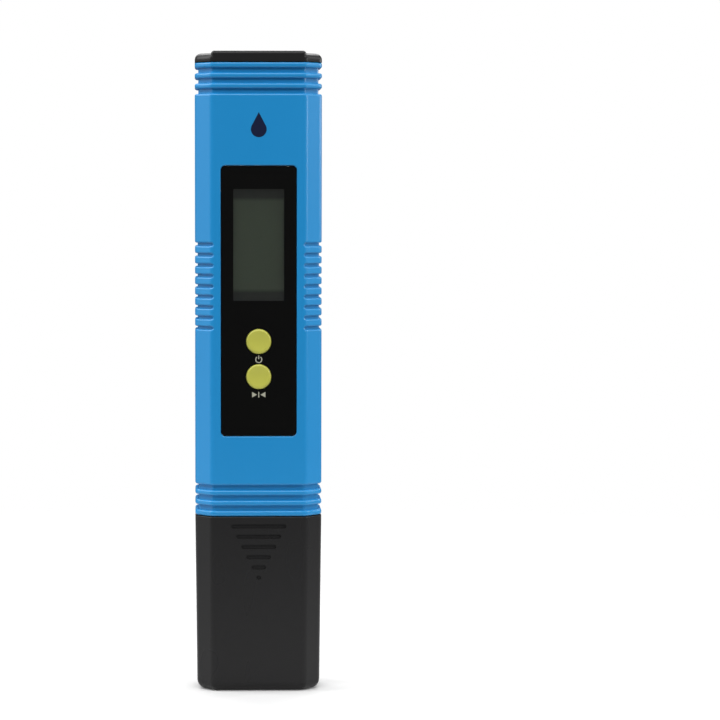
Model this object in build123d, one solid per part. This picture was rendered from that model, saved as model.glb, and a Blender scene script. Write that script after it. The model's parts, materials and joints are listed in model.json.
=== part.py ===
"""Pen-type pH tester: a blue two-part housing with a display window and two push buttons, a battery drawer
in its top end, a sprung pocket clip on its back, and a pH probe under a black pull-off cap at its lower end.

Millimetres. +Z runs up the pen, the display faces -Y, and the origin is the middle of the cap's flat foot.
"""

import math
import os

from build123d import *

# Overall size of the closed pen.
WIDTH = 30.7
DEPTH = 18.0
HEIGHT = 155.0

# Housing section: a rectangle with its four corners cut at 45 degrees, then rounded.
CORNER_CUT = 4.0
CORNER_ROUND = 2.2
WALL = 1.8
FRONT = -DEPTH / 2
BACK = DEPTH / 2

# Levels along the pen.
SEAM_GAP = 0.12
CAP_RIM = 42.72
HOUSING_BOTTOM = CAP_RIM + SEAM_GAP
HOUSING_TOP = 152.3
SHELL_FLOOR = 1.8
CAVITY_BOTTOM = HOUSING_BOTTOM + SHELL_FLOOR

# Fine groove where the two shells meet.
PARTING_HALF_WIDTH = 0.07
PARTING_DEPTH = 0.85

# Ribs at both ends of the housing, and the grip grooves on its sides.
RIB_PITCH = 2.49
GROOVE_WIDTH = 1.2
GROOVE_DEPTH = 0.85
GROOVE_ROUND = 0.5
GROOVES_PER_END = 3
END_RIB = 1.35
TOP_GROOVE = HOUSING_TOP - END_RIB - GROOVE_WIDTH
BOTTOM_GROOVE = HOUSING_BOTTOM + END_RIB
GRIP_COUNT = 9
GRIP_PITCH = 2.52
GRIP_LOWEST = 88.4
GRIP_WIDTH = 0.75
GRIP_DEPTH = 0.65
GRIP_START = 11.0
GRIP_ROUND = 0.4

# Display panel: a clear lens on a black mask, in a recess of the front shell.
PANEL_WIDTH = 18.25
PANEL_BOTTOM = 62.3
PANEL_TOP = 127.5
PANEL_CORNER = 1.1
PANEL_SLIT = 0.05
PANEL_SUNK = 0.2
RECESS_ROUND = 0.25
LENS_THICK = 1.0
MASK_THICK = 0.2
WEB_THICK = 1.2
LENS_FRONT = FRONT + PANEL_SUNK
LENS_BACK = LENS_FRONT + LENS_THICK
RECESS_FLOOR = LENS_BACK + MASK_THICK
WEB_BACK = RECESS_FLOOR + WEB_THICK
PANEL_MIDDLE = (PANEL_BOTTOM + PANEL_TOP) / 2
WINDOW_WIDTH = 12.25
WINDOW_BOTTOM = 95.0
WINDOW_TOP = 121.9
WINDOW_MIDDLE = (WINDOW_BOTTOM + WINDOW_TOP) / 2
WEB_WINDOW_MARGIN = 0.6
WEB_HALF_WIDTH = 10.2
WEB_BELOW_PANEL = 1.8
WEB_ABOVE_PANEL = 1.1

# Push buttons and the tact switches behind them.
BUTTON_LEVELS = {"power": 85.2, "calibrate": 76.7}
BUTTON_RADIUS = 3.0
BUTTON_PROUD = 0.55
BUTTON_BEVEL = 0.45
BUTTON_DISH_RADIUS = 2.3
BUTTON_DISH_DEPTH = 0.2
BUTTON_FLANGE_RADIUS = 3.8
BUTTON_TRAVEL = 0.3
PANEL_HOLE_RADIUS = 3.15
WEB_HOLE_RADIUS = 3.2

# Circuit board.
BOARD_FRONT = -1.9
BOARD_THICK = 1.0
BOARD_BACK = BOARD_FRONT + BOARD_THICK
BOARD_HALF_WIDTH = 12.0
BOARD_BOTTOM = 53.8
BOARD_TOP = 134.5
BOSS_X = 9.6
BOSS_LEVELS = (58.2, 128.6)
BOSS_RADIUS = 2.0
BOSS_ROOT = FRONT + WALL - 0.3
PILOT_RADIUS = 0.82
BOARD_HOLE_RADIUS = 0.9
SMALL_GAP = 0.02

# Case screw, sunk in the round hole of the rear shell.
CASE_SCREW_Z = 130.5
CASE_HOLE_RADIUS = 1.975
CASE_HEAD_RADIUS = 1.8
CASE_HEAD_TOP = 6.75
CASE_HEAD_THICK = 1.6
CASE_SHANK_RADIUS = 1.0
CASE_SCREW_TIP = -5.5
CASE_BOSS_RADIUS = 2.7
CASE_SEAT_RADIUS = 3.2

# Battery drawer, in the top end, and its four button cells.
FLANGE_BOTTOM = HOUSING_TOP + SEAM_GAP
FLANGE_TOP = 154.45
FLANGE_ROUND = 1.5
PAD_HALF_WIDTH = 11.4
PAD_CORNER = 0.8
PAD_ROUND = 0.75
DRAWER_SLIT = 0.15
DRAWER_BOTTOM = 137.3
DRAWER_FLOOR = 1.2
DRAWER_HALF_WIDTH = 11.7
CELL_RADIUS = 5.8
CELL_THICK = 5.4
CELL_COUNT = 4
CELL_SLIT = 0.1
CELL_Z = DRAWER_BOTTOM + DRAWER_FLOOR + CELL_SLIT + CELL_RADIUS
WINDOW_SLOT_Z = 139.6
WINDOW_SLOT_WIDTH = 8.5
WINDOW_SLOT_HEIGHT = 2.6
GUIDE_HALF_WIDTH = 4.45
GUIDE_DEPTH = 0.5
PRY_NOTCH_WIDTH = 5.9
CONTACT_SLOT_HALF = 2.6
GASKET_Z = 151.6
GASKET_SEAT = 2.55
GASKET_HALF = 0.4

# Pocket clip on the back.
CLIP_TOP = 124.9
CLIP_LENGTH = 49.9
CLIP_TOP_WIDTH = 8.1
CLIP_TIP_WIDTH = 4.8
CLIP_PIVOT_Z = 122.2
CLIP_SLACK = 0.3
CLIP_ARM_THICK = 1.4
CLIP_OUTER = 13.4
CLIP_FOOT_HALF_WIDTH = CLIP_TOP_WIDTH / 2 - 0.8
CLIP_FOOT_HALF_HEIGHT = 2.2
CLIP_BEND = 12.0
CLIP_BEND_RADIUS = 150.0
CLIP_CORNER = 0.9
CLIP_EDGE_ROUND = 0.45

# Protective cap.
CAP_DRAFT = 0.44
CAP_BORE_INSET = 2.2
CAP_FLOOR = 2.2
CAP_FOOT_ROUND = 2.5
ARROW_BARS = 6
ARROW_TOP = 40.4
ARROW_PITCH = 2.5
ARROW_WIDEST = 13.3
ARROW_STEP = 2.45
ARROW_BAR_HEIGHT = 1.0
ARROW_BAR_DEPTH = 0.4
CAP_RIM_ROUND = 0.25
SPONGE_THICK = 4.0

# Probe.
NECK_INSET = 2.5
NECK_BOTTOM = 31.7
RING_Z = 38.0
RING_HEIGHT = 1.4
PROBE_BOTTOM = 23.0
PROBE_HALF_WIDTH = 10.8
PROBE_HALF_DEPTH = 5.4
PRONG_BOTTOM = 11.0
PRONG_INNER = 7.6
PRONG_HALF_DEPTH = 4.2
TUBE_RADIUS = 4.0
TUBE_BORE_RADIUS = 3.1
TUBE_BOTTOM = 20.5
TUBE_TOP = 52.0
GLASS_RADIUS = 2.2
GLASS_WALL = 0.5
BULB_RADIUS = 3.2
BULB_WALL = 0.35
BULB_Z = 16.0
SIDE_SENSOR_X = 5.6
JUNCTION_RADIUS = 1.2
JUNCTION_TOP = 34.5
PIN_RADIUS = 1.3
PIN_TOP = 36.0
LEAD_BEND_LOW = 53.2
LEAD_BEND_HIGH = 56.0
SENSOR_LEAD_END = 59.0
WIRE_RADIUS = 0.4
CHAMBER_INSET = 4.4
CHAMBER_FLOOR = 33.5
PROBE_CUT = 2.4
RING_SEAT_INSET = NECK_INSET + 0.9
FIT = 0.03
LID_SPAN = (45.1, 46.9)


# ---------------------------------------------------------------- shapes used by several pieces


def octagon(half_width, half_depth, cut, rounding):
    """Rectangle with its corners cut at 45 degrees and every corner of the result rounded."""
    face = Rectangle(2 * half_width, 2 * half_depth)
    face = chamfer(face.vertices(), cut)
    return fillet(face.vertices(), rounding)


def outline(inset=0.0, rounding=None):
    """Housing outline, pulled in evenly by inset; a negative inset pushes it out."""
    cut = CORNER_CUT - inset * (2 - math.sqrt(2))
    if rounding is None:
        rounding = max(CORNER_ROUND - inset, 0.5)
    return octagon(WIDTH / 2 - inset, DEPTH / 2 - inset, cut, rounding)


def prism(sketch, low, high):
    """Sketch of the XY plane, raised from level low to level high."""
    return extrude(Plane.XY.offset(low) * sketch, high - low)


def slab(x, y, z):
    """Box between three pairs of limits."""
    size = [high - low for low, high in (x, y, z)]
    middle = [(low + high) / 2 for low, high in (x, y, z)]
    return Pos(*middle) * Box(*size)


def rod_x(radius, x, y, z):
    return Pos((x[0] + x[1]) / 2, y, z) * Rot(0, 90, 0) * Cylinder(radius, x[1] - x[0])


def rod_y(radius, x, y, z):
    return Pos(x, (y[0] + y[1]) / 2, z) * Rot(90, 0, 0) * Cylinder(radius, y[1] - y[0])


def rod_z(radius, x, y, z):
    return Pos(x, y, (z[0] + z[1]) / 2) * Cylinder(radius, z[1] - z[0])


def depth_plate(sketch, y, x=0.0, z=0.0):
    """Sketch seen from the front, X to the right and Z up, at (x, z), between two depths."""
    front_view = Plane(origin=(x, y[0], z), x_dir=(1, 0, 0), z_dir=(0, -1, 0))
    return extrude(front_view * sketch, y[0] - y[1])


def outside(edge):
    """How far an edge's middle stands out of the housing outline; negative inside."""
    x = abs(edge.center().X)
    y = abs(edge.center().Y)
    facet = (x + y - (WIDTH / 2 + DEPTH / 2 - CORNER_CUT)) / math.sqrt(2)
    return max(x - WIDTH / 2, y - DEPTH / 2, facet)


def ribbon(points, thickness):
    """Flat outline of a bent strip of even thickness along points, given as (u, v) pairs."""
    left = []
    right = []
    for i, (u, v) in enumerate(points):
        before = points[max(i - 1, 0)]
        after = points[min(i + 1, len(points) - 1)]
        headings = []
        for a, b in ((before, (u, v)), ((u, v), after)):
            if a != b:
                headings.append(math.atan2(b[1] - a[1], b[0] - a[0]))
        turn = (headings[-1] - headings[0]) / 2
        heading = headings[0] + turn
        reach = thickness / 2 / math.cos(turn)
        left.append((u - reach * math.sin(heading), v + reach * math.cos(heading)))
        right.append((u + reach * math.sin(heading), v - reach * math.cos(heading)))
    return make_face(Polyline(*left, *reversed(right), close=True))


def lead(points, radius, bend):
    """Insulated wire along points, with an arc of radius bend at each inner point."""
    path = FilletPolyline(*points, radius=bend)
    return sweep(Plane(origin=path @ 0, z_dir=path % 0) * Circle(radius), path=path)


def self_tapping_screw(head_radius, head_thick, shank_radius, length, recess):
    """Pan-head cross-recess screw pointing along -Y, with the top of its head at the origin."""
    head = rod_y(head_radius, 0, (-head_thick, 0), 0)
    head = fillet(head.edges().sort_by(Axis.Y)[-1], head_thick * 0.35)
    tip = length * 0.12
    shank = rod_y(shank_radius, 0, (-length + tip, -head_thick), 0)
    point = Pos(0, -length + tip / 2, 0) * Rot(90, 0, 0) * Cone(shank_radius, shank_radius * 0.4, tip)
    slot = slab((-recess, recess), (-head_thick * 0.55, 1), (-recess / 5, recess / 5))
    return head + shank + point - slot - Rot(0, 90, 0) * slot


# ---------------------------------------------------------------- housing


def housing_block():
    """Solid outer form of the housing, with its ribs and grip grooves, not yet hollow."""
    block = prism(outline(), HOUSING_BOTTOM, HOUSING_TOP)
    band = outline(-1.0) - outline(GROOVE_DEPTH)
    levels = [HOUSING_BOTTOM, HOUSING_TOP]
    for i in range(GROOVES_PER_END):
        for low in (TOP_GROOVE - i * RIB_PITCH, BOTTOM_GROOVE + i * RIB_PITCH):
            block -= prism(band, low, low + GROOVE_WIDTH)
            levels += [low, low + GROOVE_WIDTH]
    rims = [
        e
        for e in block.edges()
        if any(abs(e.center().Z - z) < 1e-3 for z in levels)
        and abs(e.bounding_box().size.Z) < 1e-3
        and outside(e) > -GROOVE_DEPTH / 2
    ]
    block = fillet(rims, GROOVE_ROUND)
    grip_band = outline(-1.0) - outline(GRIP_DEPTH)
    reach = WIDTH / 2 + 1 - GRIP_START
    slot = SlotOverall(2 * reach, GRIP_WIDTH)
    for i in range(GRIP_COUNT):
        level = GRIP_LOWEST + i * GRIP_PITCH
        ring = prism(grip_band, level - GRIP_WIDTH, level + GRIP_WIDTH)
        for side in (-1, 1):
            bar = depth_plate(slot, (FRONT - 2, BACK + 2), side * (GRIP_START + reach), level)
            block -= ring & bar
    half_run = (GRIP_COUNT * GRIP_PITCH) / 2
    middle = GRIP_LOWEST + half_run - GRIP_PITCH / 2
    rims = [
        e
        for e in block.edges()
        if abs(e.center().Z - middle) < half_run
        and e.bounding_box().size.Z < GRIP_WIDTH + 0.1
        and abs(outside(e)) < 0.05
    ]
    return fillet(rims, GRIP_ROUND)


def hollow_housing():
    """Housing walls with the panel recess, the window, the button holes and the opening for the probe."""
    body = housing_block()
    body -= prism(outline(WALL), CAVITY_BOTTOM, HOUSING_TOP + 1)
    body -= prism(outline(NECK_INSET - 0.1), HOUSING_BOTTOM - 1, CAVITY_BOTTOM + 1)
    web_span = (PANEL_BOTTOM - WEB_BELOW_PANEL, PANEL_TOP + WEB_ABOVE_PANEL)
    body += slab((-WEB_HALF_WIDTH, WEB_HALF_WIDTH), (FRONT + 1, WEB_BACK), web_span)
    panel = RectangleRounded(
        PANEL_WIDTH + 2 * PANEL_SLIT, PANEL_TOP - PANEL_BOTTOM + 2 * PANEL_SLIT, PANEL_CORNER + PANEL_SLIT
    )
    body -= depth_plate(panel, (FRONT - 1, RECESS_FLOOR), 0, PANEL_MIDDLE)
    rims = [
        e
        for e in body.edges()
        if abs(e.center().Y - FRONT) < 1e-3
        and abs(e.center().X) < PANEL_WIDTH / 2 + 0.1
        and abs(e.center().Z - PANEL_MIDDLE) < (PANEL_TOP - PANEL_BOTTOM) / 2 + 0.1
    ]
    body = fillet(rims, RECESS_ROUND)
    margin = 2 * WEB_WINDOW_MARGIN
    window = Rectangle(WINDOW_WIDTH + margin, WINDOW_TOP - WINDOW_BOTTOM + margin)
    body -= depth_plate(window, (FRONT, WEB_BACK + 1), 0, WINDOW_MIDDLE)
    for level in BUTTON_LEVELS.values():
        body -= rod_y(WEB_HOLE_RADIUS, 0, (FRONT, WEB_BACK + 1), level)
    parting = slab((-20, 20), (-PARTING_HALF_WIDTH, PARTING_HALF_WIDTH), (40, 160))
    return body - (parting - prism(outline(PARTING_DEPTH), 40, 160))


TONGUE_OUT = WIDTH / 2 - 1.2
TONGUE_IN = WIDTH / 2 - WALL
TONGUE_TALL = 0.8
TONGUE_SPAN = (46.5, 149.5)
DIVIDER = (135.0, 136.2)
DIVIDER_HALF_WIDTH = 12.2
DIVIDER_GAP = 0.3
RIM_SOFTENING = 0.3


def front_shell(body):
    shell = body & slab((-20, 20), (-20, 0), (0, 200))
    for x in (-BOSS_X, BOSS_X):
        for z in BOSS_LEVELS:
            shell += rod_y(BOSS_RADIUS, x, (BOSS_ROOT, BOARD_FRONT - SMALL_GAP), z)
            shell -= rod_y(PILOT_RADIUS, x, (FRONT + WALL + 0.4, BOARD_FRONT), z)
    shell += rod_y(CASE_BOSS_RADIUS, 0, (BOSS_ROOT, BOARD_FRONT - SMALL_GAP), CASE_SCREW_Z)
    shell -= rod_y(CASE_SHANK_RADIUS + SMALL_GAP, 0, (CASE_SCREW_TIP - 0.3, BOARD_FRONT), CASE_SCREW_Z)
    shell += slab((-DIVIDER_HALF_WIDTH, DIVIDER_HALF_WIDTH), (BOSS_ROOT, -DIVIDER_GAP), DIVIDER)
    low, high = TONGUE_SPAN
    for side in (-1, 1):
        x = sorted((side * (TONGUE_IN - 0.1), side * (TONGUE_OUT + 0.05)))
        shell -= slab(x, (-TONGUE_TALL - 0.05, 0), (low - 0.05, high + 0.05))
    return shell


def rear_shell(body):
    shell = body & slab((-20, 20), (0, 20), (0, 200))
    low, high = TONGUE_SPAN
    for side in (-1, 1):
        x = sorted((side * TONGUE_IN, side * TONGUE_OUT))
        shell += slab(x, (-TONGUE_TALL, 0.6), (low, high))
    shell += slab((-DIVIDER_HALF_WIDTH, DIVIDER_HALF_WIDTH), (DIVIDER_GAP, BACK - WALL + 0.3), DIVIDER)
    # screw boss, with the sunk head's hole
    shell += rod_y(CASE_SEAT_RADIUS, 0, (BOARD_BACK + SMALL_GAP, BACK - WALL + 0.3), CASE_SCREW_Z)
    seat = CASE_HEAD_TOP - CASE_HEAD_THICK
    shell -= rod_y(CASE_HOLE_RADIUS, 0, (seat, BACK + 1), CASE_SCREW_Z)
    shell -= rod_y(CASE_SHANK_RADIUS + 0.15, 0, (-2, seat), CASE_SCREW_Z)
    # window slot, the channel behind it, and the notch for lifting the drawer
    slot = SlotOverall(WINDOW_SLOT_WIDTH, WINDOW_SLOT_HEIGHT)
    shell -= depth_plate(slot, (BACK - WALL - 1, BACK + 1), 0, WINDOW_SLOT_Z)
    channel = GUIDE_HALF_WIDTH + DRAWER_SLIT
    shell -= slab((-channel, channel), (BACK - WALL - 0.3, BACK - WALL + GUIDE_DEPTH), (137.0, 160))
    notch = PRY_NOTCH_WIDTH / 2
    shell -= slab((-notch, notch), (BACK - GROOVE_DEPTH, BACK + 1), (TOP_GROOVE + 0.3, HOUSING_TOP + 1))
    # clip socket
    half = CLIP_FOOT_HALF_WIDTH + CLIP_SLACK
    tall = CLIP_FOOT_HALF_HEIGHT + CLIP_SLACK
    shell -= slab((-half, half), (BACK - WALL - 1, BACK + 1), (CLIP_PIVOT_Z - tall, CLIP_PIVOT_Z + tall))
    rims = [
        e
        for e in shell.edges()
        if abs(e.center().Y - BACK) < 1e-3
        and e.bounding_box().size.X < 10
        and 125 < e.center().Z < 142
    ]
    return fillet(rims, RIM_SOFTENING) + blank_field()


FIELD_Z = 67.9
FIELD_WIDTH = 19.6
FIELD_HEIGHT = 8.0
FIELD_LINE = 0.4
FIELD_PROUD = 0.15
FIELD_CORNER = 1.0


def blank_field():
    """Plain raised frame low on the back, round a blank field."""
    tall = (BACK - 0.2, BACK + FIELD_PROUD)
    outer = RectangleRounded(FIELD_WIDTH, FIELD_HEIGHT, FIELD_CORNER)
    inner = RectangleRounded(
        FIELD_WIDTH - 2 * FIELD_LINE, FIELD_HEIGHT - 2 * FIELD_LINE, FIELD_CORNER - FIELD_LINE
    )
    return depth_plate(outer - inner, tall, 0, FIELD_Z)


def case_screw():
    length = CASE_HEAD_TOP - CASE_SCREW_TIP
    screw = self_tapping_screw(CASE_HEAD_RADIUS, CASE_HEAD_THICK - SMALL_GAP, CASE_SHANK_RADIUS, length, 1.25)
    return Pos(0, CASE_HEAD_TOP, CASE_SCREW_Z) * screw


# ---------------------------------------------------------------- display


def panel_sketch():
    return RectangleRounded(PANEL_WIDTH, PANEL_TOP - PANEL_BOTTOM, PANEL_CORNER)


def button_holes(y):
    return [rod_y(PANEL_HOLE_RADIUS, 0, y, z) for z in BUTTON_LEVELS.values()]


def display_lens():
    lens = depth_plate(panel_sketch(), (LENS_FRONT, LENS_BACK), 0, PANEL_MIDDLE)
    front_rim = lens.edges().filter_by_position(Axis.Y, LENS_FRONT - 0.01, LENS_FRONT + 0.01)
    lens = fillet(front_rim, 0.15)
    for hole in button_holes((LENS_FRONT - 1, LENS_BACK + 1)):
        lens -= hole
    return lens


def panel_mask():
    mask = depth_plate(panel_sketch(), (LENS_BACK, RECESS_FLOOR), 0, PANEL_MIDDLE)
    window = RectangleRounded(WINDOW_WIDTH, WINDOW_TOP - WINDOW_BOTTOM, 0.2)
    mask -= depth_plate(window, (LENS_BACK - 1, RECESS_FLOOR + 1), 0, WINDOW_MIDDLE)
    for hole in button_holes((LENS_BACK - 1, RECESS_FLOOR + 1)):
        mask -= hole
    return mask


LCD_HALF_WIDTH = 8.2
LCD_HALF_HEIGHT = 15.5
LCD_FRONT = WEB_BACK + 0.1
LCD_PLATE = 0.95
LCD_BACK = LCD_FRONT + 2 * LCD_PLATE
REFLECTOR_THICK = 0.2
REFLECTOR_SPAN = (97.4, 119.4)
LCD_REAR_HALF_WIDTH = 5.9
STRIP_X = 7.1
STRIP_HALF_WIDTH = 0.8
STRIP_HALF_LENGTH = 14.2
FRAME_HALF_WIDTH = 9.3
FRAME_HALF_HEIGHT = 17.0


def lcd_glass():
    """Two glass plates of the liquid-crystal cell; the rear one is shorter, for the contact ledge."""
    step = LCD_FRONT + LCD_PLATE
    span = (WINDOW_MIDDLE - LCD_HALF_HEIGHT, WINDOW_MIDDLE + LCD_HALF_HEIGHT)
    cell = slab((-LCD_HALF_WIDTH, LCD_HALF_WIDTH), (LCD_FRONT, step), span)
    return cell + slab((-LCD_REAR_HALF_WIDTH, LCD_REAR_HALF_WIDTH), (step, LCD_BACK), span)


def lcd_reflector():
    half = LCD_REAR_HALF_WIDTH - 0.1
    return slab((-half, half), (LCD_BACK, LCD_BACK + REFLECTOR_THICK), REFLECTOR_SPAN)


def zebra_strips():
    """Conductive rubber strips between the glass ledges and the board."""
    strips = []
    span = (WINDOW_MIDDLE - STRIP_HALF_LENGTH, WINDOW_MIDDLE + STRIP_HALF_LENGTH)
    for x in (-STRIP_X, STRIP_X):
        sides = (x - STRIP_HALF_WIDTH, x + STRIP_HALF_WIDTH)
        strips.append(slab(sides, (LCD_FRONT + LCD_PLATE, BOARD_FRONT), span))
    return Compound(strips)


def lcd_frame():
    """Frame that holds the glass against the board."""
    span = (WINDOW_MIDDLE - FRAME_HALF_HEIGHT, WINDOW_MIDDLE + FRAME_HALF_HEIGHT)
    outer = slab((-FRAME_HALF_WIDTH, FRAME_HALF_WIDTH), (LCD_FRONT + 0.1, BOARD_FRONT), span)
    half = LCD_HALF_WIDTH + 0.05
    tall = LCD_HALF_HEIGHT + 0.05
    inner = slab((-half, half), (-9, 0), (WINDOW_MIDDLE - tall, WINDOW_MIDDLE + tall))
    return outer - inner


# ---------------------------------------------------------------- board and switches


def circuit_board():
    x = (-BOARD_HALF_WIDTH, BOARD_HALF_WIDTH)
    board = slab(x, (BOARD_FRONT, BOARD_BACK), (BOARD_BOTTOM, BOARD_TOP))
    board = chamfer(board.edges().filter_by(Axis.Y), 0.8)
    for side in (-BOSS_X, BOSS_X):
        for z in BOSS_LEVELS:
            board -= rod_y(BOARD_HOLE_RADIUS, side, (-5, 5), z)
    return board - rod_y(CASE_SHANK_RADIUS + 0.4, 0, (-5, 5), CASE_SCREW_Z)


def board_screws():
    head_radius = 1.6
    head_thick = 0.9
    length = 4.6
    screw = self_tapping_screw(head_radius, head_thick, BOARD_HOLE_RADIUS - 0.1, length, 1.0)
    places = [(x, z) for x in (-BOSS_X, BOSS_X) for z in BOSS_LEVELS]
    return Compound([Pos(x, BOARD_BACK + head_thick + SMALL_GAP, z) * screw for x, z in places])


BLOB_Z = 101.0
CHIP_Z = 66.0
LEG_PITCH = 1.1
LEGS_PER_SIDE = 4
CHIP_COLUMNS = (-8.5, -5.5, 5.5, 8.5)
CHIP_LOWEST = 73.0
CHIP_PITCH = 4.2


def controller_blob():
    """Epoxy dome over the bonded controller die."""
    radius = 9.0
    height = 1.5
    dome = Pos(0, BOARD_BACK - radius + height, BLOB_Z) * Sphere(radius)
    return dome & slab((-radius, radius), (BOARD_BACK, BOARD_BACK + 5), (BLOB_Z - radius, BLOB_Z + radius))


def amplifier_chip():
    body = slab((-2.5, 2.5), (BOARD_BACK + 0.1, BOARD_BACK + 1.5), (CHIP_Z - 2, CHIP_Z + 2))
    body = chamfer(body.faces().sort_by(Axis.Y)[-1].edges(), 0.25)
    for i in range(LEGS_PER_SIDE):
        z = CHIP_Z + (i - (LEGS_PER_SIDE - 1) / 2) * LEG_PITCH
        body += slab((-3.5, 3.5), (BOARD_BACK, BOARD_BACK + 0.25), (z - 0.2, z + 0.2))
    return body


def small_components():
    """Chip resistors and capacitors on the rear of the board."""
    chips = []
    for column, x in enumerate(CHIP_COLUMNS):
        for row in range(4):
            z = CHIP_LOWEST + row * CHIP_PITCH + (column % 2) * 1.5
            tall = 0.6 if (row + column) % 2 else 0.85
            chips.append(slab((x - 0.65, x + 0.65), (BOARD_BACK, BOARD_BACK + tall), (z - 1, z + 1)))
    return Compound(chips)


SWITCH_HALF = 3.0
SWITCH_TALL = 3.5
COVER_THICK = 0.3
SWITCH_TOP = BOARD_FRONT - SWITCH_TALL
PLUNGER_RADIUS = 1.7
PLUNGER_WASHER = 0.55
PLUNGER_TIP = BOARD_FRONT - 4.3
PLUNGER_FLANGE = 2.3
WELL_RADIUS = 2.4
WELL_DEPTH = 1.3
DOME_RADIUS = 2.1
DOME_HEIGHT = 0.32
DOME_SHEET = 0.08


def switch_housings():
    bodies = []
    half = SWITCH_HALF
    for level in BUTTON_LEVELS.values():
        top = SWITCH_TOP + COVER_THICK
        body = slab((-half, half), (top, BOARD_FRONT), (level - half, level + half))
        body = chamfer(body.edges().filter_by(Axis.Y), 0.4)
        bodies.append(body - rod_y(WELL_RADIUS, 0, (top - 1, top + WELL_DEPTH), level))
    return Compound(bodies)


def switch_domes():
    """Snap domes on the floors of the switch wells, which push the plungers back."""
    floor = SWITCH_TOP + COVER_THICK + WELL_DEPTH
    radius = (DOME_RADIUS**2 + DOME_HEIGHT**2) / (2 * DOME_HEIGHT)
    domes = []
    for level in BUTTON_LEVELS.values():
        ball = Pos(0, floor - DOME_HEIGHT + radius, level)
        dome = ball * (Sphere(radius) - Sphere(radius - DOME_SHEET))
        domes.append(dome & rod_y(DOME_RADIUS, 0, (floor - 1, floor), level))
    return Compound(domes)


def switch_covers():
    covers = []
    half = SWITCH_HALF
    for level in BUTTON_LEVELS.values():
        y = (SWITCH_TOP, SWITCH_TOP + COVER_THICK)
        cover = slab((-half, half), y, (level - half, level + half))
        cover = chamfer(cover.edges().filter_by(Axis.Y), 0.4)
        covers.append(cover - rod_y(PLUNGER_RADIUS + 0.1, 0, (-20, 0), level))
    return Compound(covers)


def switch_terminals():
    legs = []
    for level in BUTTON_LEVELS.values():
        for x in (-1, 1):
            for z in (-2.25, 2.25):
                span = sorted((x * SWITCH_HALF, x * (SWITCH_HALF + 1.2)))
                legs.append(slab(span, (BOARD_FRONT - 0.2, BOARD_FRONT), (level + z - 0.35, level + z + 0.35)))
    return Compound(legs)


def plunger(level):
    under_cover = SWITCH_TOP + COVER_THICK + SMALL_GAP
    back = under_cover + PLUNGER_WASHER
    stem = rod_y(PLUNGER_RADIUS, 0, (PLUNGER_TIP, back), level)
    stem = fillet(stem.edges().sort_by(Axis.Y)[0], 0.2)
    return stem + rod_y(PLUNGER_FLANGE, 0, (under_cover, back), level)


def push_button(level):
    """Round key: a rounded, dished head, and a flange that stops it behind the web of the front shell."""
    head_front = LENS_FRONT - BUTTON_PROUD
    key = rod_y(BUTTON_RADIUS, 0, (head_front, WEB_BACK + 0.1), level)
    key = fillet(key.edges().sort_by(Axis.Y)[0], BUTTON_BEVEL)
    ball = (BUTTON_DISH_RADIUS**2 + BUTTON_DISH_DEPTH**2) / (2 * BUTTON_DISH_DEPTH)
    key -= Pos(0, head_front + BUTTON_DISH_DEPTH - ball, level) * Sphere(ball)
    flange_back = SWITCH_TOP - BUTTON_TRAVEL - 0.15
    key += rod_y(BUTTON_FLANGE_RADIUS, 0, (WEB_BACK + SMALL_GAP, flange_back), level)
    return key - rod_y(PLUNGER_RADIUS + 0.4, 0, (PLUNGER_TIP - SMALL_GAP, 0), level)


# ---------------------------------------------------------------- battery drawer and its contacts


def battery_drawer():
    cap = prism(outline(), FLANGE_BOTTOM, FLANGE_TOP)
    top_rim = cap.edges().filter_by_position(Axis.Z, FLANGE_TOP - 0.01, FLANGE_TOP + 0.01)
    cap = fillet(top_rim, FLANGE_ROUND)
    pad = prism(RectangleRounded(2 * PAD_HALF_WIDTH, DEPTH, PAD_CORNER), FLANGE_BOTTOM, HEIGHT)
    pad_rim = pad.edges().filter_by_position(Axis.Z, HEIGHT - 0.01, HEIGHT + 0.01)
    cap += fillet(pad_rim, PAD_ROUND)
    carrier = prism(outline(WALL + DRAWER_SLIT), DRAWER_BOTTOM, FLANGE_BOTTOM)
    bay_top = CELL_Z + CELL_RADIUS + CELL_SLIT
    plug = slab((-20, 20), (-10, 10), (bay_top, FLANGE_BOTTOM))
    carrier &= plug + slab((-DRAWER_HALF_WIDTH, DRAWER_HALF_WIDTH), (-10, 10), (130, bay_top + 0.1))
    half_bay = CELL_COUNT * CELL_THICK / 2 + 0.15
    bay_radius = CELL_RADIUS + CELL_SLIT
    carrier -= rod_x(bay_radius, (-half_bay, half_bay), 0, CELL_Z)
    carrier -= slab((-half_bay, half_bay), (-10, 0), (CELL_Z - bay_radius, CELL_Z + bay_radius))
    for side in (-1, 1):
        x = sorted((side * (half_bay - 0.1), side * 13))
        carrier -= slab(x, (-CONTACT_SLOT_HALF, CONTACT_SLOT_HALF), (130, bay_top))
    seat = GASKET_HALF + 0.05
    carrier -= prism(outline(0) - outline(GASKET_SEAT), GASKET_Z - seat, GASKET_Z + seat)
    guide = slab(
        (-GUIDE_HALF_WIDTH, GUIDE_HALF_WIDTH),
        (BACK - WALL - 0.5, BACK - WALL + GUIDE_DEPTH - 0.1),
        (DRAWER_BOTTOM, GASKET_Z - 1.0),
    )
    return cap + carrier + guide


def drawer_gasket():
    section = outline(WALL + FIT) - outline(GASKET_SEAT - SMALL_GAP)
    ring = prism(section, GASKET_Z - GASKET_HALF, GASKET_Z + GASKET_HALF)
    return ring - slab((-5, 5), (BACK - WALL - 0.1, BACK), (140, 160))


def button_cell(index):
    """One alkaline cell: a wide can with the narrower negative cap on its left."""
    left = (index - CELL_COUNT / 2) * CELL_THICK
    can = rod_x(CELL_RADIUS, (left + 0.7, left + CELL_THICK), 0, CELL_Z)
    can = fillet(can.edges().sort_by(Axis.X)[0], 0.5)
    return can + rod_x(CELL_RADIUS * 0.78, (left, left + 1), 0, CELL_Z)


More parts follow.
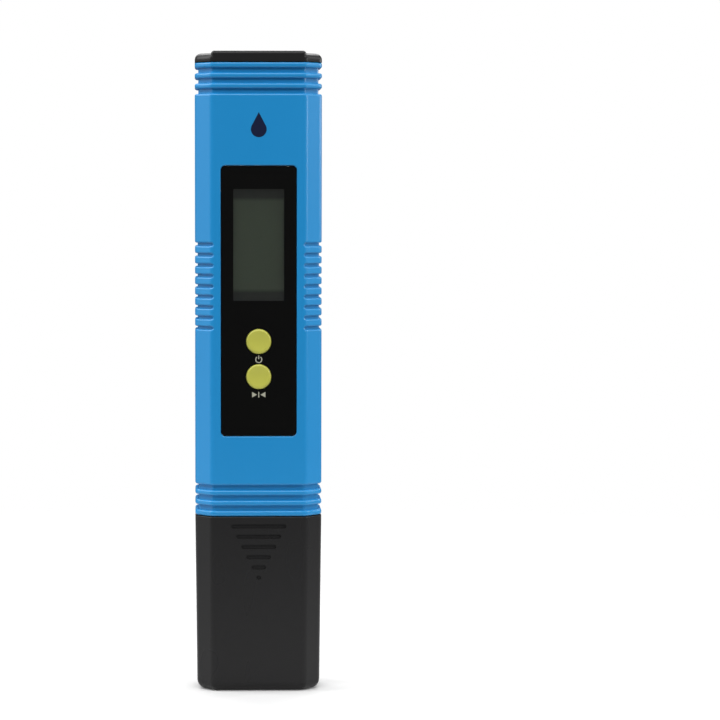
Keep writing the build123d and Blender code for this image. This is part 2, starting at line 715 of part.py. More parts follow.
CONTACT_OUT = WIDTH / 2 - WALL - 0.35
CONTACT_IN = CELL_COUNT * CELL_THICK / 2 + 0.05
CONTACT_TAIL = BOARD_TOP - 1.5
CONTACT_THICK = 0.3
CONTACT_HALF_WIDTH = 2.2
LEAD_RADIUS = 0.42


def battery_contact(side):
    """Bent leaf that bears on one end of the row of cells; its tail goes down to the board."""
    near = CONTACT_IN + 0.17
    profile = [
        (CONTACT_OUT, CONTACT_TAIL),
        (CONTACT_OUT, CELL_Z - 5.0),
        (near, CELL_Z - 0.8),
        (near, CELL_Z + 0.8),
        (CONTACT_OUT - 0.3, CELL_Z + 5.0),
    ]
    points = [(side * u, v) for u, v in profile]
    return depth_plate(ribbon(points, CONTACT_THICK), (-CONTACT_HALF_WIDTH, CONTACT_HALF_WIDTH))


def battery_lead(side):
    x = (CONTACT_OUT - 0.2) * side
    rest_y = BOARD_BACK + LEAD_RADIUS + SMALL_GAP
    start = CONTACT_TAIL - SMALL_GAP
    points = [(x, 1.0, start), (x, 1.0, 130.5), (11.0 * side, rest_y + 1.2, 127.0), (9.2 * side, rest_y, 122.0)]
    return lead(points, LEAD_RADIUS, 1.4)


# ---------------------------------------------------------------- pocket clip


def pocket_clip():
    """Tapered arm whose foot is held in the rear shell, drawn in side view and then cut to its taper."""
    inner = CLIP_OUTER - CLIP_ARM_THICK
    tip = CLIP_TOP - CLIP_LENGTH
    bend = tip + CLIP_BEND
    root_low = CLIP_PIVOT_Z - CLIP_FOOT_HALF_HEIGHT
    root_high = CLIP_PIVOT_Z + CLIP_FOOT_HALF_HEIGHT
    shoulder = BACK + CLIP_SLACK
    side_view = Plane(origin=(0, 0, 0), x_dir=(0, 1, 0), z_dir=(1, 0, 0))
    outer_side = FilletPolyline(
        (CLIP_OUTER, CLIP_TOP), (CLIP_OUTER - 0.3, bend), (CLIP_OUTER - 1.1, tip), radius=CLIP_BEND_RADIUS
    )
    inner_side = Polyline(
        (CLIP_OUTER - 1.1, tip),
        (CLIP_OUTER - 2.2, tip),
        (9.6, tip + 4.4),
        (9.6, tip + 5.6),
        (inner - 0.3, bend),
        (inner, root_low - 1.6),
        (inner - 1.6, root_low - 0.4),
        (shoulder, root_low - 0.4),
        (shoulder, CLIP_TOP),
        (CLIP_OUTER, CLIP_TOP),
    )
    half = CLIP_TOP_WIDTH / 2
    clip = extrude(side_view * make_face(outer_side + inner_side), half, both=True)
    tip_half = CLIP_TIP_WIDTH / 2
    taper = Polyline((-half, CLIP_TOP), (half, CLIP_TOP), (half, CLIP_TOP - 4), (tip_half, tip + tip_half))
    taper += ThreePointArc((tip_half, tip + tip_half), (0, tip), (-tip_half, tip + tip_half))
    taper += Polyline((-tip_half, tip + tip_half), (-half, CLIP_TOP - 4), (-half, CLIP_TOP))
    taper = make_face(taper)
    taper = fillet(taper.vertices().group_by(Axis.Y)[-1], CLIP_CORNER)
    clip &= depth_plate(taper, (BACK, CLIP_OUTER + 1))
    outer_faces = [face for face in clip.faces() if face.normal_at(face.center()).Y > 0.9]
    edges = [e for face in outer_faces for e in face.edges()]
    # leave out the lines straight across the arm where its bend begins and ends
    across = [e for e in edges if abs(e.center().X) < 0.1 and abs(e.center().Z - bend) < CLIP_BEND / 2]
    clip = fillet([e for e in edges if e not in across], CLIP_EDGE_ROUND)
    foot = CLIP_FOOT_HALF_WIDTH
    stem = slab((-foot, foot), (BACK - WALL - CLIP_SLACK - 0.1, shoulder + 0.1), (root_low, root_high))
    head_y = (BACK - WALL - CLIP_SLACK - 1.2, BACK - WALL - CLIP_SLACK)
    head = slab((-foot - 1.0, foot + 1.0), head_y, (root_low - 0.4, root_high + 0.4))
    return clip + stem + head


# ---------------------------------------------------------------- protective cap


def cap_inset(z):
    """Draft of the cap's sides at level z."""
    return CAP_DRAFT * (CAP_RIM - z) / CAP_RIM


def protective_cap():
    angle = math.degrees(math.atan(CAP_DRAFT / CAP_RIM))
    cap = extrude(Plane.XY.offset(CAP_RIM) * outline(), CAP_RIM, dir=(0, 0, -1), taper=angle)
    foot = cap.edges().filter_by_position(Axis.Z, -0.01, 0.01)
    cap = fillet(foot, CAP_FOOT_ROUND)
    rim = cap.edges().filter_by_position(Axis.Z, CAP_RIM - 0.01, CAP_RIM + 0.01)
    cap = fillet(rim, CAP_RIM_ROUND)
    cap -= prism(outline(CAP_BORE_INSET), CAP_FLOOR, CAP_RIM + 1)
    for i in range(ARROW_BARS):
        z = ARROW_TOP - i * ARROW_PITCH
        surface = DEPTH / 2 - cap_inset(z)
        bar = SlotOverall(max(ARROW_WIDEST - i * ARROW_STEP, ARROW_BAR_HEIGHT + 0.15), ARROW_BAR_HEIGHT)
        cap -= depth_plate(bar, (-surface - 1, -surface + ARROW_BAR_DEPTH), 0, z)
        cap -= depth_plate(bar, (surface - ARROW_BAR_DEPTH, surface + 1), 0, z)
    return cap


def storage_sponge():
    pad = prism(outline(CAP_BORE_INSET + 0.1), CAP_FLOOR, CAP_FLOOR + SPONGE_THICK)
    return fillet(pad.edges().group_by(Axis.Z)[-1], 0.5)


# ---------------------------------------------------------------- probe


def probe_holder():
    """Neck that fills the housing's lower end and the cap's mouth, with two prongs that guard the bulb."""
    holder = prism(outline(WALL + 0.2), CAVITY_BOTTOM + 0.05, CAVITY_BOTTOM + 2.4)
    holder += prism(outline(NECK_INSET), NECK_BOTTOM, CAVITY_BOTTOM + 0.1)
    section = octagon(PROBE_HALF_WIDTH, PROBE_HALF_DEPTH, PROBE_CUT, 0.8)
    holder += prism(section, PROBE_BOTTOM, NECK_BOTTOM)
    for side in (-1, 1):
        x = sorted((side * PRONG_INNER, side * PROBE_HALF_WIDTH))
        prong = slab(x, (-PRONG_HALF_DEPTH, PRONG_HALF_DEPTH), (PRONG_BOTTOM, PROBE_BOTTOM + 1))
        prong &= prism(section, 0, NECK_BOTTOM)
        low_ends = prong.edges().filter_by(Axis.X).filter_by_position(Axis.Z, 0, PRONG_BOTTOM + 1)
        holder += fillet(low_ends, 1.6)
    seat = RING_HEIGHT / 2 + 0.1
    holder -= prism(outline(0) - outline(RING_SEAT_INSET), RING_Z - seat, RING_Z + seat)
    holder -= prism(outline(CHAMBER_INSET), CHAMBER_FLOOR, 60)
    holder -= rod_z(TUBE_RADIUS + FIT, 0, 0, (0, 60))
    holder -= rod_z(PIN_RADIUS + FIT, SIDE_SENSOR_X, 0, (0, 40))
    holder -= rod_z(JUNCTION_RADIUS + FIT, -SIDE_SENSOR_X, 0, (0, 40))
    return holder


def chamber_lid():
    """Plate that closes the electrolyte chamber round the tube and the wires."""
    lid = prism(outline(CHAMBER_INSET + FIT), *LID_SPAN) - rod_z(TUBE_RADIUS + FIT, 0, 0, (0, 60))
    for x in (-SIDE_SENSOR_X, SIDE_SENSOR_X):
        lid -= rod_z(LEAD_RADIUS + SMALL_GAP, x, 0, (0, 60))
    return lid


def neck_ring():
    """Rubber ring that seals the cap on the neck."""
    section = outline(CAP_BORE_INSET + 0.04) - outline(RING_SEAT_INSET - SMALL_GAP)
    ring = prism(section, RING_Z - RING_HEIGHT / 2, RING_Z + RING_HEIGHT / 2)
    rims = [e for e in ring.edges() if outside(e) > -CAP_BORE_INSET - 0.5 and e.bounding_box().size.Z < 0.1]
    return fillet(rims, 0.55)


def electrode_tube():
    tube = rod_z(TUBE_RADIUS, 0, 0, (TUBE_BOTTOM, TUBE_TOP))
    tube = fillet(tube.edges().sort_by(Axis.Z)[0], 0.5)
    return tube - rod_z(TUBE_BORE_RADIUS, 0, 0, (0, 60))


def glass_bulb():
    """Thin-walled glass tube that ends in the pH-sensitive bulb."""
    top = TUBE_TOP - 2.0
    outer = rod_z(GLASS_RADIUS, 0, 0, (BULB_Z, top)) + Pos(0, 0, BULB_Z) * Sphere(BULB_RADIUS)
    neck = outer.edges().filter_by(GeomType.CIRCLE).filter_by_position(Axis.Z, BULB_Z + 1, top - 1)
    outer = fillet(neck, 0.8)
    inside = rod_z(GLASS_RADIUS - GLASS_WALL, 0, 0, (BULB_Z, top + 1))
    inside += Pos(0, 0, BULB_Z) * Sphere(BULB_RADIUS - BULB_WALL)
    return outer - inside


def bulb_seal():
    return rod_z(TUBE_BORE_RADIUS, 0, 0, (TUBE_BOTTOM + 0.3, 24.0)) - rod_z(GLASS_RADIUS, 0, 0, (0, 60))


def tube_plug():
    plug = rod_z(TUBE_BORE_RADIUS, 0, 0, (TUBE_TOP - 3.5, TUBE_TOP))
    plug -= rod_z(GLASS_RADIUS, 0, 0, (0, TUBE_TOP - 2.0))
    return plug - rod_z(WIRE_RADIUS, 0, 0, (0, 60))


def silver_wire():
    return rod_z(WIRE_RADIUS, 0, 0, (BULB_Z - 0.5, TUBE_TOP))


def reference_junction():
    return rod_z(JUNCTION_RADIUS, -SIDE_SENSOR_X, 0, (PROBE_BOTTOM - 0.8, JUNCTION_TOP))


def temperature_probe():
    pin = rod_z(PIN_RADIUS, SIDE_SENSOR_X, 0, (14.0, PIN_TOP))
    return fillet(pin.edges().sort_by(Axis.Z)[0], PIN_RADIUS - 0.1)


def sensor_leads():
    """Wires from the silver wire, the reference chamber and the temperature probe to the board."""
    pad_y = BOARD_BACK + LEAD_RADIUS + SMALL_GAP
    starts = ((0.0, TUBE_TOP), (-SIDE_SENSOR_X, JUNCTION_TOP), (SIDE_SENSOR_X, PIN_TOP))
    leads = []
    for x, z in starts:
        pad_x = x * 0.75
        inside = [(x, 0, z), (x, 0, LEAD_BEND_LOW)]
        along = [(pad_x, pad_y, LEAD_BEND_HIGH), (pad_x, pad_y, SENSOR_LEAD_END)]
        leads.append(lead(inside + along, LEAD_RADIUS, 0.9))
    return Compound(leads)


# ---------------------------------------------------------------- write every piece


def pieces():
    body = hollow_housing()
    made = {
        "front_shell": front_shell(body),
        "rear_shell": rear_shell(body),
        "case_screw": case_screw(),
        "display_lens": display_lens(),
        "panel_mask": panel_mask(),
        "lcd_glass": lcd_glass(),
        "lcd_reflector": lcd_reflector(),
        "lcd_frame": lcd_frame(),
        "zebra_strips": zebra_strips(),
        "circuit_board": circuit_board(),
        "board_screws": board_screws(),
        "controller_blob": controller_blob(),
        "amplifier_chip": amplifier_chip(),
        "small_components": small_components(),
        "switch_housings": switch_housings(),
        "switch_domes": switch_domes(),
        "switch_covers": switch_covers(),
        "switch_terminals": switch_terminals(),
        "battery_drawer": battery_drawer(),
        "drawer_gasket": drawer_gasket(),
        "battery_contact_left": battery_contact(-1),
        "battery_contact_right": battery_contact(1),
        "battery_lead_left": battery_lead(-1),
        "battery_lead_right": battery_lead(1),
        "pocket_clip": pocket_clip(),
        "protective_cap": protective_cap(),
        "storage_sponge": storage_sponge(),
        "probe_holder": probe_holder(),
        "chamber_lid": chamber_lid(),
        "neck_ring": neck_ring(),
        "electrode_tube": electrode_tube(),
        "glass_bulb": glass_bulb(),
        "bulb_seal": bulb_seal(),
        "tube_plug": tube_plug(),
        "silver_wire": silver_wire(),
        "reference_junction": reference_junction(),
        "temperature_probe": temperature_probe(),
        "sensor_leads": sensor_leads(),
    }
    for name, level in BUTTON_LEVELS.items():
        made[f"{name}_button"] = push_button(level)
        made[f"{name}_plunger"] = plunger(level)
    for index in range(CELL_COUNT):
        made[f"button_cell_{index + 1}"] = button_cell(index)
    return made


os.makedirs("parts", exist_ok=True)
for name, shape in pieces().items():
    export_step(shape, f"parts/{name}.step")
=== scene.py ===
"""Pen-type pH tester: finishes, printed signs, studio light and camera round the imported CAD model."""

import json
import math

import bpy
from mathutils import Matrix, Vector


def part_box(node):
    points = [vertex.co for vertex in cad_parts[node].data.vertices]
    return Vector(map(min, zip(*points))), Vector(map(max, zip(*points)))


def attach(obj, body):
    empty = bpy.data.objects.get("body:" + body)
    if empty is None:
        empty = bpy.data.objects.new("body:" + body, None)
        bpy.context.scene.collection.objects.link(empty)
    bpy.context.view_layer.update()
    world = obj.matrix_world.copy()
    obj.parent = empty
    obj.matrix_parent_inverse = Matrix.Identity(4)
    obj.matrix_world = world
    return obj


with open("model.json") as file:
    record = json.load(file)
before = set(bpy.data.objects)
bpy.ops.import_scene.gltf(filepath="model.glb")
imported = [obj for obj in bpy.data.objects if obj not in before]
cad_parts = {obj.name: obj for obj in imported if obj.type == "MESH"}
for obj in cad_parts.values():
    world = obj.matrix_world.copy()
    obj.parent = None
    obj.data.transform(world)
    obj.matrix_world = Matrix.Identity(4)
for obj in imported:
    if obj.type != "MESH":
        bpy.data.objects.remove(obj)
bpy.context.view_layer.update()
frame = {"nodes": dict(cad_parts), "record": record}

MM = 0.001

# Camera: in front of the display, a little above it and to its left, tipped down to the pen, which stands
# left of the middle of the view. VIEW_WIDTH is how much the picture takes in at the pen.
CAMERA_DISTANCE = 0.650
CAMERA_HEIGHT = 0.120
CAMERA_AZIMUTH = math.radians(-1.15)
AIM_HEIGHT = 0.0802
SENSOR_WIDTH = 36.0
VIEW_WIDTH = 0.1760
PEN_LEFT_OF_MIDDLE = 0.02493
NEAREST_SEEN = 0.01

# Linear colours.
BLUE = (0.0090, 0.214, 0.495)
BLUE_PALE = (0.0105, 0.221, 0.510)
BLACK = (0.0132, 0.0130, 0.0133)
BLACK_PALE = (0.0148, 0.0145, 0.0149)
OLIVE = (0.415, 0.415, 0.058)
OLIVE_PALE = (0.44, 0.44, 0.070)
PRINT_BLACK = (0.0016, 0.0018, 0.0014)
PRINT_BLACK_PALE = (0.0022, 0.0024, 0.0020)
NAVY = (0.002, 0.006, 0.030)
NAVY_PALE = (0.003, 0.007, 0.034)
# The darker LCD colour is bare glass and also painted shade: it fills the bands above and below the film, where
# the mask over the recessed cell shades it.
LCD_BARE_AND_PAINTED_SHADE = (0.017, 0.0215, 0.0165)
LCD_FILM = (0.053, 0.070, 0.045)
MASK_GREEN = (0.012, 0.11, 0.035)
MASK_GREEN_PALE = (0.03, 0.22, 0.06)

# Sheet that the pen stands on. It thins away from FLOOR_FADE, and is gone at FLOOR_EDGE.
FLOOR_SHADE = 0.56
FLOOR_RADIUS = 0.40
FLOOR_FADE = 0.05
FLOOR_EDGE = 0.95 * FLOOR_RADIUS
FLOOR_GLOW = 0.08
FLOOR_ROUGHNESS = 0.9
FLOOR_SPECULAR = 0.1

# Studio: area lights stand round the pen and face its middle, and the world fills in.
LIGHT_TARGET = (0, 0, 0.08)
TOP_LIGHT_HEIGHT = 0.62
SIDE_LIGHT_HEIGHT = 0.16
FILL_STRENGTH = 0.12

# Sizes of the marks on the surfaces.
MOTTLE_SIZE = 14 * MM
RUBBED_SIZE = 9 * MM
SPARK_GRAIN = 0.22 * MM
RESIN_SHADE_SIZE = 4 * MM
SCRATCH_SIZE = 0.5 * MM
RESIN_WAVE_SIZE = 3 * MM
TARNISH_SIZE = 1.5 * MM
DRAWING_MARK_SIZE = 0.12 * MM
WIPE_SIZE = 1.2 * MM
TRACK_PITCH = 2.4 * MM
# Soft edge between the film and the darker bands of bare glass and painted shade.
FILM_AND_SHADE_SOFT_EDGE = 0.45 * MM
FILM_CLOUD_SIZE = 0.3 * MM
FILM_GRAIN = 0.1 * MM


# ---------------------------------------------------------------- building blocks for materials


def new_material(name):
    material = bpy.data.materials.new(name)
    material.use_nodes = True
    return material, material.node_tree, material.node_tree.nodes["Principled BSDF"]


def place(tree, stretch=(1, 1, 1)):
    """Position on the object in metres, stretched along each axis."""
    where = tree.nodes.new("ShaderNodeTexCoord")
    mapping = tree.nodes.new("ShaderNodeMapping")
    mapping.inputs["Scale"].default_value = stretch
    tree.links.new(where.outputs["Object"], mapping.inputs["Vector"])
    return mapping.outputs["Vector"]


def noise(tree, size, detail=2.0, stretch=(1, 1, 1)):
    """Noise whose features are about size metres across."""
    texture = tree.nodes.new("ShaderNodeTexNoise")
    texture.inputs["Scale"].default_value = 1 / size
    texture.inputs["Detail"].default_value = detail
    tree.links.new(place(tree, stretch), texture.inputs["Vector"])
    return texture.outputs["Fac"]


def spread(tree, value, low, high, start=0.35, end=0.65):
    """Value between start and end, brought to low and high."""
    remap = tree.nodes.new("ShaderNodeMapRange")
    for name, number in (("From Min", start), ("From Max", end), ("To Min", low), ("To Max", high)):
        remap.inputs[name].default_value = number
    tree.links.new(value, remap.inputs["Value"])
    return remap.outputs["Result"]


def blend_colours(tree, share, low, high):
    mix = tree.nodes.new("ShaderNodeMix")
    mix.data_type = "RGBA"
    tree.links.new(share, mix.inputs["Factor"])
    mix.inputs["A"].default_value = (*low, 1)
    mix.inputs["B"].default_value = (*high, 1)
    return mix.outputs["Result"]


def add_bump(tree, shader, height, depth):
    bump = tree.nodes.new("ShaderNodeBump")
    bump.inputs["Strength"].default_value = 1.0
    bump.inputs["Distance"].default_value = depth
    tree.links.new(height, bump.inputs["Height"])
    tree.links.new(bump.outputs["Normal"], shader.inputs["Normal"])


# ---------------------------------------------------------------- materials


def moulded(name, colour, pale, roughness, specular=0.5, depth=0.006 * MM):
    """Satin moulded plastic: spark-eroded grain, faint flow mottling and a polish that varies with handling."""
    material, tree, shader = new_material(name)
    flow = noise(tree, MOTTLE_SIZE, detail=1.0, stretch=(1, 1, 0.3))
    mottle = spread(tree, flow, 0, 1, start=0.2, end=0.8)
    tree.links.new(blend_colours(tree, mottle, colour, pale), shader.inputs["Base Color"])
    rubbed = noise(tree, RUBBED_SIZE, detail=1.0, stretch=(1, 1, 0.4))
    vary = 0.015
    polish = spread(tree, rubbed, roughness - vary, roughness + vary, start=0.2, end=0.8)
    tree.links.new(polish, shader.inputs["Roughness"])
    shader.inputs["Specular IOR Level"].default_value = specular
    add_bump(tree, shader, noise(tree, SPARK_GRAIN), depth)
    return material


def glossy(name, colour, pale, roughness):
    """Hard glossy plastic or resin, with hairline scratches."""
    material, tree, shader = new_material(name)
    shade = blend_colours(tree, noise(tree, RESIN_SHADE_SIZE), colour, pale)
    tree.links.new(shade, shader.inputs["Base Color"])
    scratches = noise(tree, SCRATCH_SIZE, detail=4.0, stretch=(1, 1, 0.06))
    tree.links.new(spread(tree, scratches, roughness - 0.02, roughness + 0.05), shader.inputs["Roughness"])
    add_bump(tree, shader, noise(tree, RESIN_WAVE_SIZE), 0.01 * MM)
    return material


def metal(name, colour, pale, roughness, streak=(1, 1, 1)):
    """Bare or plated metal with drawing marks and a little tarnish."""
    material, tree, shader = new_material(name)
    shader.inputs["Metallic"].default_value = 1.0
    tarnish = spread(tree, noise(tree, TARNISH_SIZE, detail=4.0), 0, 1)
    tree.links.new(blend_colours(tree, tarnish, colour, pale), shader.inputs["Base Color"])
    marks = noise(tree, DRAWING_MARK_SIZE, detail=3.0, stretch=streak)
    tree.links.new(spread(tree, marks, roughness - 0.06, roughness + 0.1), shader.inputs["Roughness"])
    add_bump(tree, shader, marks, 0.004 * MM)
    return material


def clear(name, colour, roughness, ior, wiped):
    """Clear glass or acrylic with fine wipe marks, rougher than the rest by up to wiped."""
    material, tree, shader = new_material(name)
    shader.inputs["Base Color"].default_value = (*colour, 1)
    shader.inputs["Transmission Weight"].default_value = 1.0
    shader.inputs["IOR"].default_value = ior
    wipes = noise(tree, WIPE_SIZE, detail=5.0, stretch=(1, 1, 0.15))
    tree.links.new(spread(tree, wipes, roughness, roughness + wiped), shader.inputs["Roughness"])
    return material


def porous(name, colour, pale, cell, depth, roughness=0.85):
    """Foam, ceramic or another open-pored stuff, with cells of the given size."""
    material, tree, shader = new_material(name)
    pores = tree.nodes.new("ShaderNodeTexVoronoi")
    pores.inputs["Scale"].default_value = 1 / cell
    tree.links.new(place(tree), pores.inputs["Vector"])
    share = spread(tree, pores.outputs["Distance"], 0, 1, start=0.1, end=0.6)
    tree.links.new(blend_colours(tree, share, pale, colour), shader.inputs["Base Color"])
    shader.inputs["Roughness"].default_value = roughness
    add_bump(tree, shader, share, depth)
    return material


def display(name):
    """Liquid-crystal cell, seen behind the lens: a grey-green polariser film, with darker bands above and below
    it that are bare glass and painted shade of the mask over the recessed cell.
    """
    material, tree, shader = new_material(name)
    low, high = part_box("lcd_reflector")
    axes = tree.nodes.new("ShaderNodeSeparateXYZ")
    tree.links.new(place(tree), axes.inputs["Vector"])
    soft = FILM_AND_SHADE_SOFT_EDGE
    # Below the reflector's bottom and above its top the cell takes the darker colour: bare glass, and painted
    # shade of the mask's overhang.
    above = spread(tree, axes.outputs["Z"], 0, 1, start=low[2] - soft, end=low[2] + soft)
    below = spread(tree, axes.outputs["Z"], 1, 0, start=high[2] - soft, end=high[2] + soft)
    film = tree.nodes.new("ShaderNodeMath")
    film.operation = "MULTIPLY"
    tree.links.new(above, film.inputs[0])
    tree.links.new(below, film.inputs[1])
    shade = blend_colours(tree, film.outputs["Value"], LCD_BARE_AND_PAINTED_SHADE, LCD_FILM)
    tree.links.new(shade, shader.inputs["Base Color"])
    cloud = noise(tree, FILM_CLOUD_SIZE, detail=3.0)
    tree.links.new(spread(tree, cloud, 0.30, 0.42), shader.inputs["Roughness"])
    add_bump(tree, shader, noise(tree, FILM_GRAIN), 0.003 * MM)
    return material


def board_finish(name):
    """Green solder mask over copper tracks."""
    material, tree, shader = new_material(name)
    tracks = tree.nodes.new("ShaderNodeTexBrick")
    tracks.inputs["Scale"].default_value = 1 / TRACK_PITCH
    tracks.inputs["Mortar Size"].default_value = 0.06
    tree.links.new(place(tree), tracks.inputs["Vector"])
    shade = blend_colours(tree, tracks.outputs["Fac"], MASK_GREEN, MASK_GREEN_PALE)
    tree.links.new(shade, shader.inputs["Base Color"])
    shader.inputs["Roughness"].default_value = 0.3
    add_bump(tree, shader, tracks.outputs["Fac"], 0.03 * MM)
    return material


def finishes():
    """One material for each slot of the record, and the two inks of the printed signs."""
    return {
        "blue_plastic": moulded("blue_plastic", BLUE, BLUE_PALE, 0.30, specular=0.42),
        "black_plastic": moulded("black_plastic", BLACK, BLACK_PALE, 0.28, specular=0.16),
        "panel_print": moulded(
            "panel_print", PRINT_BLACK, PRINT_BLACK_PALE, 0.5, specular=0.2, depth=0.0015 * MM
        ),
        "clear_lens": clear("clear_lens", (0.96, 0.97, 0.96), 0.004, ior=1.49, wiped=0.005),
        "lcd_cell": display("lcd_cell"),
        "reflector_film": glossy("reflector_film", (0.05, 0.055, 0.045), (0.06, 0.065, 0.055), 0.4),
        "key_plastic": glossy("key_plastic", OLIVE, OLIVE_PALE, 0.36),
        "inner_plastic": moulded("inner_plastic", (0.02, 0.02, 0.021), (0.03, 0.03, 0.031), 0.5),
        "board": board_finish("board"),
        "epoxy": glossy("epoxy", (0.008, 0.008, 0.008), (0.014, 0.014, 0.014), 0.25),
        "chip_ceramic": porous(
            "chip_ceramic", (0.20, 0.12, 0.06), (0.30, 0.20, 0.12), 0.1 * MM, 0.004 * MM, roughness=0.5
        ),
        "steel": metal("steel", (0.10, 0.10, 0.11), (0.16, 0.16, 0.17), 0.32),
        "dark_steel": metal("dark_steel", (0.020, 0.021, 0.026), (0.030, 0.031, 0.038), 0.3),
        "spring_metal": metal(
            "spring_metal", (0.60, 0.50, 0.30), (0.70, 0.62, 0.42), 0.25, streak=(1, 1, 0.1)
        ),
        "cell_can": metal("cell_can", (0.55, 0.55, 0.54), (0.68, 0.68, 0.67), 0.2, streak=(0.1, 1, 1)),
        "rubber": moulded("rubber", (0.012, 0.012, 0.012), (0.02, 0.02, 0.02), 0.6),
        "wire_cover": glossy("wire_cover", (0.30, 0.012, 0.012), (0.38, 0.02, 0.02), 0.4),
        "sponge": porous("sponge", (0.55, 0.40, 0.12), (0.75, 0.60, 0.25), 0.5 * MM, 0.15 * MM),
        "bulb_glass": clear("bulb_glass", (0.86, 0.92, 0.96), 0.02, ior=1.25, wiped=0.01),
        "tube_plastic": glossy("tube_plastic", (0.012, 0.012, 0.013), (0.02, 0.02, 0.022), 0.15),
        "silver": metal("silver", (0.7, 0.7, 0.68), (0.8, 0.8, 0.78), 0.2),
        "porous_white": porous(
            "porous_white", (0.72, 0.70, 0.66), (0.85, 0.84, 0.80), 0.12 * MM, 0.01 * MM
        ),
        "label_ink": moulded("label_ink", NAVY, NAVY_PALE, 0.5, specular=0.2),
        "panel_ink": moulded("panel_ink", (0.33, 0.33, 0.26), (0.37, 0.37, 0.30), 0.5, specular=0.2),
    }


def dress_frame(made):
    """Give each CAD piece the finish of its slot."""
    for part in frame["record"]["subparts"]:
        mesh = frame["nodes"][part["node"]].data
        mesh.materials.clear()
        mesh.materials.append(made[part["material_slot"]])


# ---------------------------------------------------------------- printed signs

INK_THICK = 0.02 * MM
DROP_RADIUS = 1.9 * MM
DROP_APEX = 4.1 * MM
DROP_Z = 136.2 * MM
SIGN_RADIUS = 0.85 * MM
SIGN_LINE = 0.24 * MM
SIGN_BELOW_KEY = 4.35 * MM
RING_GAP = 70


def arc(radius, start, end, steps=40):
    """Points round (0, 0) from one angle to another, in degrees."""
    angles = [math.radians(start + (end - start) * i / steps) for i in range(steps + 1)]
    return [(radius * math.cos(a), radius * math.sin(a)) for a in angles]


def bar(low, high, half_width):
    """Upright bar between two heights."""
    return [(-half_width, low), (half_width, low), (half_width, high), (-half_width, high)]


def drop_sign():
    """Drop of liquid: a circle that runs up to a point, with straight sides tangent to it."""
    side = 90 - math.degrees(math.acos(DROP_RADIUS / DROP_APEX))
    return [[(0, DROP_APEX)] + arc(DROP_RADIUS, side, -180 - side)]


def power_sign():
    """Ring open at the top by RING_GAP degrees, with an upright bar in the gap."""
    inner = SIGN_RADIUS - SIGN_LINE
    start, end = 90 + RING_GAP // 2, 450 - RING_GAP // 2
    ring = arc(SIGN_RADIUS, start, end) + arc(inner, end, start)
    return [ring, bar(0.1 * SIGN_RADIUS, 1.15 * SIGN_RADIUS, SIGN_LINE / 2)]


def centring_sign():
    """Upright bar between two arrowheads that point at it."""
    tall = 0.8 * SIGN_RADIUS
    near = 0.5 * SIGN_RADIUS
    far = 1.9 * SIGN_RADIUS
    heads = [[(side * near, 0), (side * far, tall), (side * far, -tall)] for side in (-1, 1)]
    return [bar(-tall, tall, SIGN_LINE / 2), *heads]


def print_sign(name, outlines, ink, middle, surface):
    """Ink on a surface that faces -Y, filled between closed outlines, with (0, 0) at middle = (x, z)."""
    curve = bpy.data.curves.new(name, "CURVE")
    curve.dimensions = "2D"
    curve.fill_mode = "BOTH"
    curve.extrude = INK_THICK / 2
    for outline in outlines:
        spline = curve.splines.new("POLY")
        spline.points.add(len(outline) - 1)
        for point, (across, up) in zip(spline.points, outline):
            point.co = (across, up, 0, 1)
        spline.use_cyclic_u = True
    source = bpy.data.objects.new(name, curve)
    source.rotation_euler = (math.pi / 2, 0, 0)
    source.location = (middle[0], surface - INK_THICK / 2, middle[1])
    bpy.context.collection.objects.link(source)
    bpy.context.view_layer.update()
    mesh = bpy.data.meshes.new_from_object(source)
    mesh.transform(source.matrix_world)
    bpy.data.objects.remove(source)
    mesh.materials.clear()
    mesh.materials.append(ink)
    piece = bpy.data.objects.new(name, mesh)
    bpy.context.collection.objects.link(piece)
    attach(piece, "housing")


def signs(made):
    shell_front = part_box("front_shell")[0][1]
    lens_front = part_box("display_lens")[0][1]
    print_sign("sign_drop", drop_sign(), made["label_ink"], (0, DROP_Z), shell_front)
    for name, outlines in (("power", power_sign()), ("calibrate", centring_sign())):
        low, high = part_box(f"{name}_button")
        middle = (0, (low[2] + high[2]) / 2 - SIGN_BELOW_KEY)
        print_sign(f"sign_{name}", outlines, made["panel_ink"], middle, lens_front)


# ---------------------------------------------------------------- studio


def softbox(name, position, size, power):
    """Rectangular area light of so many watts, turned to the pen."""
    lamp = bpy.data.lights.new(name, "AREA")
    lamp.shape = "RECTANGLE"
    lamp.size, lamp.size_y = size
    lamp.energy = power
    piece = bpy.data.objects.new(name, lamp)
    piece.location = position
    beam = Vector(LIGHT_TARGET) - Vector(position)
    piece.rotation_euler = beam.to_track_quat("-Z", "Y").to_euler()
    bpy.context.collection.objects.link(piece)


def studio():
    """Lights above on all four sides and low at the left and right, and narrow strips that edge the ribs."""
    for name, side in (("front", -1), ("back", 1)):
        softbox(f"light_{name}_top", (0.0, side * 0.50, 0.72), size=(0.9, 0.4), power=6.7)
        softbox(f"light_{name}_strip", (0.63, side * 0.24, 0.27), size=(0.04, 0.30), power=1.2)
    softbox("light_left_top", (-0.60, 0.0, TOP_LIGHT_HEIGHT), size=(0.4, 0.7), power=5.6)
    softbox("light_right_top", (0.60, 0.0, TOP_LIGHT_HEIGHT), size=(0.4, 0.7), power=2.0)
    softbox("light_left", (-0.80, 0.0, SIDE_LIGHT_HEIGHT), size=(0.7, 0.6), power=1.0)
    softbox("light_right", (0.80, 0.0, SIDE_LIGHT_HEIGHT), size=(0.5, 0.6), power=0.15)


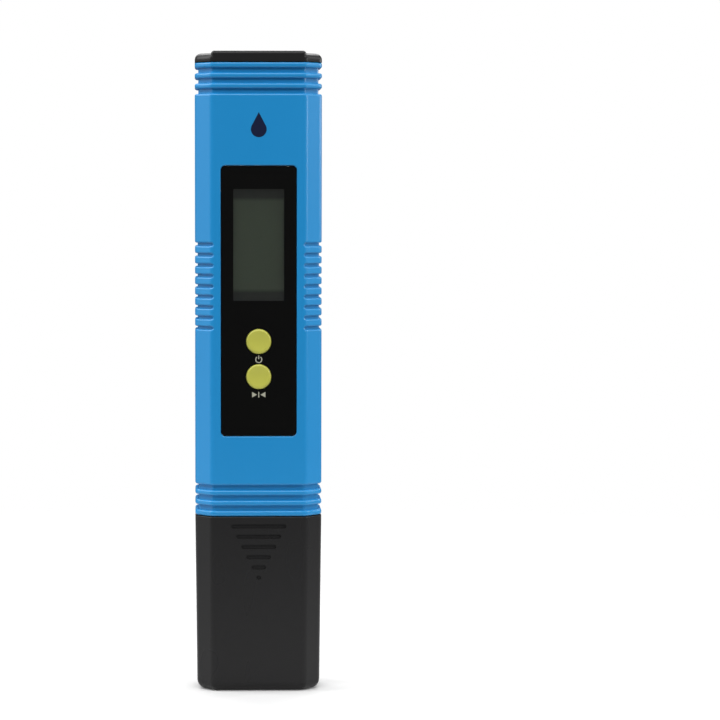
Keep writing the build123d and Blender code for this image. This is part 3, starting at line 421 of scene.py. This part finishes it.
def backdrop():
    """White all round for the camera, and a dim white fill for everything else."""
    world = bpy.data.worlds.new("studio")
    world.use_nodes = True
    tree = world.node_tree
    seen = tree.nodes.new("ShaderNodeBackground")
    seen.inputs["Color"].default_value = (1, 1, 1, 1)
    fill = tree.nodes["Background"]
    fill.inputs["Color"].default_value = (1, 1, 1, 1)
    fill.inputs["Strength"].default_value = FILL_STRENGTH
    path = tree.nodes.new("ShaderNodeLightPath")
    mix = tree.nodes.new("ShaderNodeMixShader")
    tree.links.new(path.outputs["Is Camera Ray"], mix.inputs["Fac"])
    tree.links.new(fill.outputs["Background"], mix.inputs[1])
    tree.links.new(seen.outputs["Background"], mix.inputs[2])
    tree.links.new(mix.outputs["Shader"], tree.nodes["World Output"].inputs["Surface"])
    bpy.context.scene.world = world
    bpy.context.scene.view_settings.view_transform = "Standard"


def floor():
    """Round sheet of white paper that thins away towards its edge."""
    mesh = bpy.data.meshes.new("floor")
    corners = [(x, y, 0) for x, y in arc(FLOOR_RADIUS, 0, 360)[:-1]]
    mesh.from_pydata(corners, [], [range(len(corners))])
    material, tree, shader = new_material("floor_paper")
    shader.inputs["Base Color"].default_value = (FLOOR_SHADE, FLOOR_SHADE, FLOOR_SHADE, 1)
    shader.inputs["Roughness"].default_value = FLOOR_ROUGHNESS
    shader.inputs["Specular IOR Level"].default_value = FLOOR_SPECULAR
    shader.inputs["Emission Color"].default_value = (1, 1, 1, 1)
    shader.inputs["Emission Strength"].default_value = FLOOR_GLOW
    length = tree.nodes.new("ShaderNodeVectorMath")
    length.operation = "LENGTH"
    tree.links.new(place(tree), length.inputs[0])
    cover = spread(tree, length.outputs["Value"], 1, 0, start=FLOOR_FADE, end=FLOOR_EDGE)
    tree.links.new(cover, shader.inputs["Alpha"])
    mesh.materials.append(material)
    piece = bpy.data.objects.new("floor", mesh)
    bpy.context.collection.objects.link(piece)


def camera():
    """Camera aimed at the pen at AIM_HEIGHT, with the view shifted so that the pen is left of its middle."""
    data = bpy.data.cameras.new("camera")
    data.sensor_width = SENSOR_WIDTH
    drop = CAMERA_HEIGHT - AIM_HEIGHT
    data.lens = SENSOR_WIDTH * math.hypot(CAMERA_DISTANCE, drop) / VIEW_WIDTH
    data.shift_x = PEN_LEFT_OF_MIDDLE / VIEW_WIDTH
    data.clip_start = NEAREST_SEEN
    piece = bpy.data.objects.new("camera", data)
    sideways = CAMERA_DISTANCE * math.sin(CAMERA_AZIMUTH)
    away = CAMERA_DISTANCE * math.cos(CAMERA_AZIMUTH)
    piece.location = (sideways, -away, CAMERA_HEIGHT)
    piece.rotation_euler = (math.pi / 2 - math.atan(drop / CAMERA_DISTANCE), 0, CAMERA_AZIMUTH)
    bpy.context.collection.objects.link(piece)
    bpy.context.scene.camera = piece


made = finishes()
dress_frame(made)
signs(made)
studio()
backdrop()
floor()
camera()
